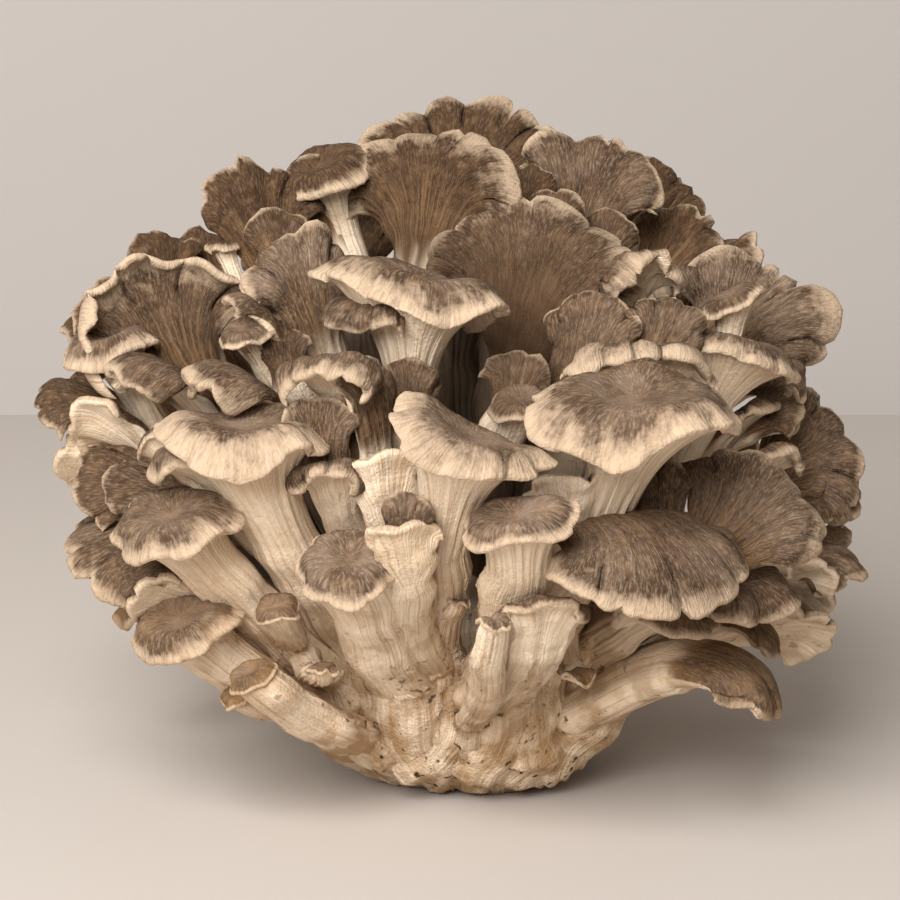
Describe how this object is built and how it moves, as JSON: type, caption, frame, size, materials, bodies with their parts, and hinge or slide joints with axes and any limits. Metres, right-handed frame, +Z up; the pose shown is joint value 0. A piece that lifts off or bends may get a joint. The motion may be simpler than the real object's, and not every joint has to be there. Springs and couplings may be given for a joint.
{
  "type": "maitake mushroom",
  "caption": "Maitake cluster standing on its cut foot: a pale trunk branches into stalks that flare into overlapping, ruffled brown fan-shaped fronds.",
  "frame": {"origin": "on the flat cut under the foot, below the middle of the cluster", "axes": "+Z up, -Y towards the front, +X to the right seen from the front"},
  "size_m": [0.2283, 0.2176, 0.1827],
  "materials": {
    "flesh": "matte cream mushroom flesh with lengthwise fibres, ochre stains and dark soil marks",
    "frond": "matte, finely felted grey-brown skin on the upper face, paling to a cream rim, with cream flesh below"
  },
  "bodies": {
    "root": {"trunk": "flesh", "frond_front_1": "frond", "frond_front_2": "frond", "frond_front_3": "frond", "frond_front_4": "frond", "frond_front_5": "frond", "frond_front_6": "frond", "frond_front_7": "frond", "frond_front_8": "frond", "frond_front_9": "frond", "frond_front_10": "frond", "frond_front_11": "frond", "frond_crown_1": "frond", "frond_crown_2": "frond", "frond_crown_3": "frond", "frond_crown_4": "frond", "frond_crown_5": "frond", "frond_crown_6": "frond", "frond_crown_7": "frond", "frond_crown_8": "frond", "frond_crown_9": "frond", "frond_right_1": "frond", "frond_right_2": "frond", "frond_right_3": "frond", "frond_right_4": "frond", "frond_right_5": "frond", "frond_right_6": "frond", "frond_right_7": "frond", "frond_right_8": "frond", "frond_right_9": "frond", "frond_right_10": "frond", "frond_right_11": "frond", "frond_right_12": "frond", "frond_right_13": "frond", "frond_right_14": "frond", "frond_right_15": "frond", "frond_left_1": "frond", "frond_left_2": "frond", "frond_left_3": "frond", "frond_left_4": "frond", "frond_left_5": "frond", "frond_left_6": "frond", "frond_left_7": "frond", "frond_left_8": "frond", "frond_left_9": "frond", "frond_left_10": "frond", "frond_left_11": "frond", "frond_foot_1": "frond", "frond_foot_2": "frond", "frond_foot_3": "frond", "frond_back_1": "frond", "frond_back_2": "frond", "frond_back_3": "frond", "frond_back_4": "frond", "frond_back_5": "frond", "frond_back_6": "frond", "frond_back_7": "frond", "frond_back_8": "frond", "frond_back_9": "frond", "frond_back_10": "frond"}
  },
  "joints": []
}
